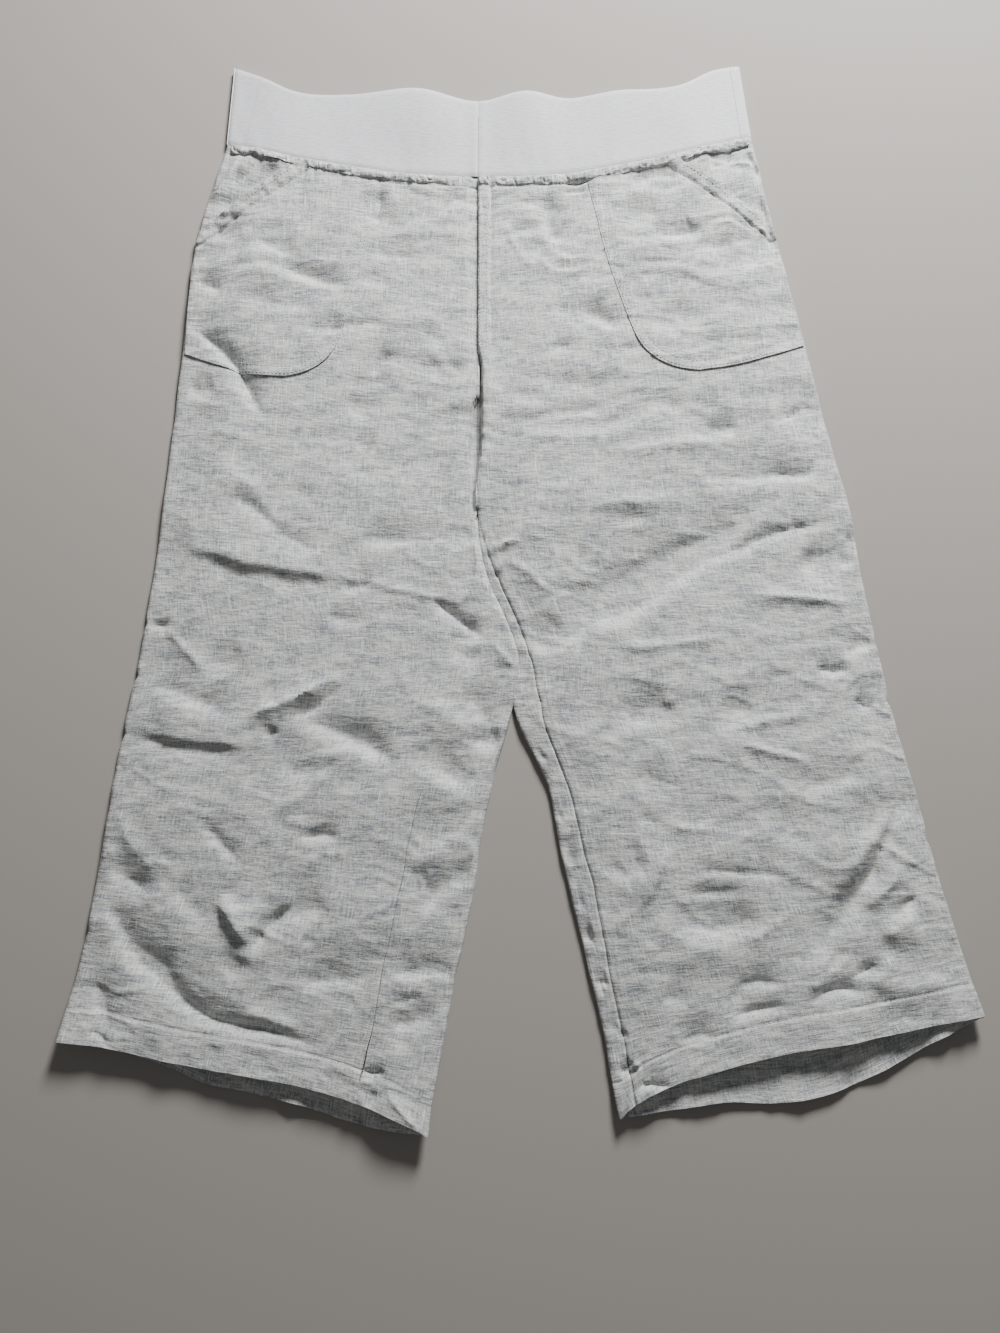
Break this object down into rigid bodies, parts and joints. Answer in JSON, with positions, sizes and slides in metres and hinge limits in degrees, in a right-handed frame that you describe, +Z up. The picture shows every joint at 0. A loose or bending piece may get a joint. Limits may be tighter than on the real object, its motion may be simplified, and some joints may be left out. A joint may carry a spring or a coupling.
{
  "type": "culottes",
  "caption": "Wide-legged linen culottes with an elastic waistband and patch pockets, laid flat, open at waist and hems.",
  "frame": {"origin": "centre of the bounding box on the surface it lies on, at the underside of the back panels", "axes": "+Y towards the waist, +Z up out of the front, +X towards the wearer's left leg"},
  "size_m": [0.693, 0.872, 0.0149],
  "materials": {
    "linen": "plain-woven linen of white and blue-grey yarn, slubbed and creased, matt",
    "elastic": "wide knitted elastic, pale blue-grey, smooth and matt"
  },
  "bodies": {
    "root": {"waistband_front_right": "elastic", "waistband_front_left": "elastic", "waistband_back": "elastic", "front_right": "linen", "front_left": "linen", "back_right": "linen", "back_left": "linen", "pocket_right": "linen", "pocket_left": "linen"}
  },
  "joints": []
}
